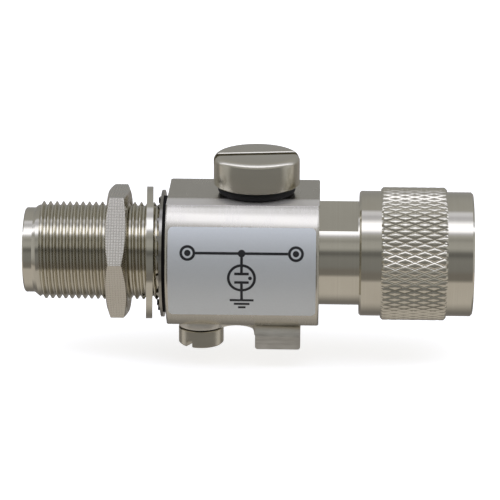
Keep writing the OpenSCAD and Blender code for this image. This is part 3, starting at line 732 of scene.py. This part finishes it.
# Screen-printed ink: a soft black with a faint mottle from the screen
mottle_size = 0.8 * MM
printing_ink = bpy.data.materials.new("screen_printed_dark_ink")
printing_ink.use_nodes = True
tree = printing_ink.node_tree
shader = tree.nodes["Principled BSDF"]
mottle = add_node(
    tree, "ShaderNodeTexNoise",
    {"Vector": add_node(tree, "ShaderNodeTexCoord").outputs["Object"],
     "Scale": 1 / mottle_size, "Detail": 2})
tone = add_node(
    tree, "ShaderNodeMix",
    {0: mottle.outputs["Fac"], 6: linear("#17181a"), 7: linear("#2a2b2e")}, data_type="RGBA")
tree.links.new(tone.outputs[2], shader.inputs["Base Color"])
shader.inputs["Roughness"].default_value = 0.45
fit(drawing, "arrestor", "label_foil", printing_ink)

# %% [markdown]
# ## Finishes for the other metal pieces
# The body is milled flat above and below and turned round its front and back, then
# plated like the rest. The flat washer and the electrodes are pressed from sheet, the
# lug is sheared from it, the lock washer is spring steel under a thin plate, and the
# contacts have a thin gold plate. All of them follow the recipe above with their own
# colour, gloss and tool lines, so that they differ as the real ones do. The lock
# washer's colour is darker still, as painted shade between the washers.

# %% Body, sheet, contact and spring metal
# Satin nickel on milled bar: coarser, so the tent is blurred to soft shading
satin_body = plated_metal(
    "satin_nickel_on_milled_bar", "#d1cdc2", "#c8c4b7", (0.21, 0.30), 0.35, 0.001, (1, 0.15, 0.15))
# Bright nickel on pressed sheet: mirrors the tent sharply
bright_sheet = plated_metal(
    "bright_nickel_on_pressed_sheet", "#d9d5c8", "#d0ccbd", (0.06, 0.13), 0.40, 0.001, (0.1, 1, 1))
# Matt nickel on sheared sheet: dull, with streaks along the way it was rolled
matt_sheet = plated_metal(
    "matt_nickel_on_sheared_sheet", "#fbf8f0", "#d2cec3", (0.36, 0.60), 0.45, 0.004, (0.12, 1, 1))
# Thin nickel on spring steel: uneven, and darker than the other nickel as painted shade between the
# washers
spring_steel_painted_shade = plated_metal(
    "thin_nickel_spring_steel_painted_shade", "#b4b1a8", "#98958c", (0.12, 0.22), 0.40, 0.001, (0.1, 1, 1))
# Gold plate on turned bronze: a warm yellow glint in the mouths
gilt = plated_metal(
    "gold_plate_on_turned_bronze", "#f2cf8a", "#e4bd72", (0.14, 0.24), 0.25, 0.001, (1, 0, 0))
# Rolled spring steel: a neutral grey with a soft sheen
spring_steel = plated_metal(
    "rolled_spring_steel", "#a9a8a6", "#979694", (0.20, 0.34), 0.25, 0.001, (1, 1, 0.2))


def dress(material, *names):
    for name in names:
        nodes[name].data.materials.clear()
        nodes[name].data.materials.append(material)
    print(material.name, "on", ", ".join(names))


dress(satin_body, "body")
dress(satin_line, "plug_shell", "line_conductor")
dress(bright_sheet, "flat_washer", "gas_tube_lower_electrode", "gas_tube_upper_electrode")
# The lock washer's darker colour is painted shade in the gap between the washers
dress(spring_steel_painted_shade, "lock_washer")
dress(matt_sheet, "ground_lug")
dress(gilt, "jack_contact", "plug_pin")
dress(spring_steel, "retaining_ring", "contact_spring")

# %% [markdown]
# ## Eased edges
# Sawn and milled edges were tumbled before plating, and a worn edge catches the light as
# a thin line. The solids have sharp edges, so a bevel modifier rounds them a little and
# leaves their meshes as they are. A weld comes first, because a bevel needs faces that
# share their corners.

# %% Eased edges
weld_gap, edge_angle = 0.001 * MM, math.radians(30)


def ease_edges(name, radius):
    """Rounds a solid's real edges; radius in mm."""
    joined = nodes[name].modifiers.new("joined_faces", "WELD")
    joined.merge_threshold = weld_gap
    rounding = nodes[name].modifiers.new("eased_edges", "BEVEL")
    rounding.width = radius * MM
    rounding.segments = 3
    rounding.limit_method = "ANGLE"
    rounding.angle_limit = edge_angle
    rounding.harden_normals = True
    print(name, "has edges eased by", radius, "mm")


for name, radius in (("body", 0.25), ("hex_nut", 0.12), ("ground_lug", 0.12)):
    ease_edges(name, radius)

# %% [markdown]
# ## The strip along the top flat
# In the picture the front of the body's top flat is lighter than the rest, with a
# straight border. Here that strip gets a matt surface, which spreads the lamp's light
# and comes out lighter, and a paler colour on top of that, which is painted light. The
# strip is laid by the place on the body: in front of a border line, and only at the
# flat's own height.

# %% Matt strip with painted light
strip_border, border_blur, height_slack = -3.8 * MM, 0.4 * MM, 0.02 * MM
# The strip's paler colour is painted light; its roughness makes it matt
painted_light_colour, strip_gloss = "#f2efe9", 0.55
flat_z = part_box("body")[1].z
tree = satin_body.node_tree
shader = tree.nodes["Principled BSDF"]
place = add_node(
    tree, "ShaderNodeSeparateXYZ",
    {"Vector": add_node(tree, "ShaderNodeTexCoord").outputs["Object"]})
in_front = add_node(
    tree, "ShaderNodeMapRange",
    {"Value": place.outputs["Y"], "From Min": strip_border + border_blur,
     "From Max": strip_border - border_blur})
on_flat = add_node(
    tree, "ShaderNodeMath", {0: place.outputs["Z"], 1: flat_z - height_slack},
    operation="GREATER_THAN")
strip = add_node(
    tree, "ShaderNodeMath", {0: in_front.outputs[0], 1: on_flat.outputs[0]}, operation="MULTIPLY")
# Painted light: the strip's paler colour is mixed into the body's tone
tone = add_node(
    tree, "ShaderNodeMix",
    {0: strip.outputs[0], 6: shader.inputs["Base Color"].links[0].from_socket, 7: linear(painted_light_colour)},
    data_type="RGBA")
rough = add_node(
    tree, "ShaderNodeMix",
    {0: strip.outputs[0], 2: shader.inputs["Roughness"].links[0].from_socket, 3: strip_gloss})
tree.links.new(tone.outputs[2], shader.inputs["Base Color"])
tree.links.new(rough.outputs[0], shader.inputs["Roughness"])
print("matt strip in front of y, mm:", round(strip_border / MM, 2))

# %% [markdown]
# ## The panel nut's brushed flats
# The nut is cut from hexagon bar and its flats were brushed in two directions before
# plating. The scratches are bright and the metal between them is dull. That shows only
# on the flat that leans back below the lamp's edge: a dull cell spreads the lamp's light
# and comes out lighter than a scratch, while the other flats mirror an even wall or
# table, where gloss makes no difference. So two crossed waves set the gloss, and no
# colour is painted. Real scratches are finer: 0.44 mm is about the closest grid that
# this picture can show.

# %% Cross-brushed nut
scratch_gap, scratch_gloss, cell_gloss = 0.44 * MM, 0.05, 0.46
cell_start = 0.5
flat_lean = math.radians(30)
# The wave texture at scale 1 repeats after this length
wave_length = math.tau / 20
# Satin nickel on a cross-brushed hexagon: a fine light grid on the flat under the lamp
brushed_nut = plated_metal(
    "satin_nickel_on_cross_brushed_hexagon", "#d3cfc4", "#cbc6ba",
    (0.10, 0.16), 0.30, 0.001, (1, 0, 0))
tree = brushed_nut.node_tree
place = add_node(tree, "ShaderNodeTexCoord").outputs["Object"]
across, along = (
    add_node(tree, "ShaderNodeTexWave",
             {"Vector": place, "Scale": wave_length / gap, "Distortion": 0},
             bands_direction=direction).outputs["Fac"]
    for direction, gap in (("X", scratch_gap), ("Z", scratch_gap * math.cos(flat_lean))))
cells = add_node(tree, "ShaderNodeMath", {0: across, 1: along}, operation="MULTIPLY")
rough = add_node(
    tree, "ShaderNodeMapRange",
    {"Value": cells.outputs[0], "From Max": cell_start,
     "To Min": scratch_gloss, "To Max": cell_gloss})
tree.links.new(rough.outputs[0], tree.nodes["Principled BSDF"].inputs["Roughness"])
dress(brushed_nut, "hex_nut")

# %% [markdown]
# ## Rubber, plastic, ceramic and film
# These surfaces are not metal: they have a colour of their own and a soft sheen. Each
# gets a fine grain in its colour, its gloss and its surface, at the size that moulding,
# cutting or firing leaves, and the index of refraction that is usual for it.

# %% Recipe for surfaces that are not plated
def plain_surface(name, light, dark, gloss, ior, grain, depth, metallic=0.0):
    """grain and depth are the size and height of the surface's texture, in mm."""
    surface = bpy.data.materials.new(name)
    surface.use_nodes = True
    tree = surface.node_tree
    shader = tree.nodes["Principled BSDF"]
    speckle = add_node(
        tree, "ShaderNodeTexNoise",
        {"Vector": add_node(tree, "ShaderNodeTexCoord").outputs["Object"],
         "Scale": 1 / (grain * MM), "Detail": 3, "Roughness": 0.6})
    tone = add_node(
        tree, "ShaderNodeMix",
        {0: speckle.outputs["Fac"], 6: linear(dark), 7: linear(light)}, data_type="RGBA")
    rough = add_node(
        tree, "ShaderNodeMapRange",
        {"Value": speckle.outputs["Fac"], "To Min": gloss[0], "To Max": gloss[1]})
    bump = add_node(
        tree, "ShaderNodeBump",
        {"Height": speckle.outputs["Fac"], "Strength": 1, "Distance": depth * MM})
    tree.links.new(tone.outputs[2], shader.inputs["Base Color"])
    tree.links.new(rough.outputs[0], shader.inputs["Roughness"])
    tree.links.new(bump.outputs[0], shader.inputs["Normal"])
    shader.inputs["Metallic"].default_value = metallic
    shader.inputs["IOR"].default_value = ior
    return surface


print("recipe ready for surfaces that are not plated")

# %% [markdown]
# ## The soft and insulating pieces
# The gasket and the seal are moulded rubber, the ring in the plug is cut from red
# silicone sheet, the beads are turned from fluoroplastic rod, and the tube's ring is
# fired alumina. The label is a polyester film with a thin metal coat, so it is nearly
# a metal. One call for each keeps its real values side by side.

# %% Soft and insulating materials
# Moulded rubber: nearly black, and so dull that it shows no lamp
dress(plain_surface("moulded_black_rubber", "#121213", "#09090a", (0.7, 0.85), 1.52, 0.5, 0.004),
      "bulkhead_gasket", "cap_seal")
# Cut silicone: brick red with a soft, greasy sheen
dress(plain_surface("cut_red_silicone", "#b5543f", "#9c4331", (0.4, 0.55), 1.41, 0.6, 0.004),
      "plug_gasket")
# Turned fluoroplastic: a waxy white
dress(plain_surface(
    "turned_white_fluoroplastic", "#f0efea", "#e4e3dd", (0.35, 0.5), 1.35, 0.5, 0.002),
      "jack_insulator", "plug_insulator")
# Fired alumina: an ivory white, glossier than the plastic
dress(plain_surface("fired_alumina", "#efece2", "#e3dfd3", (0.3, 0.45), 1.76, 0.4, 0.002),
      "gas_tube_ceramic")
# Metal-coated film: a cool, even silver that blurs the tent to a soft shading
dress(plain_surface(
    "matt_silver_polyester_film", "#ecefef", "#e4e8e8", (0.58, 0.68), 1.57, 0.35, 0.001, 0.8),
      "label")
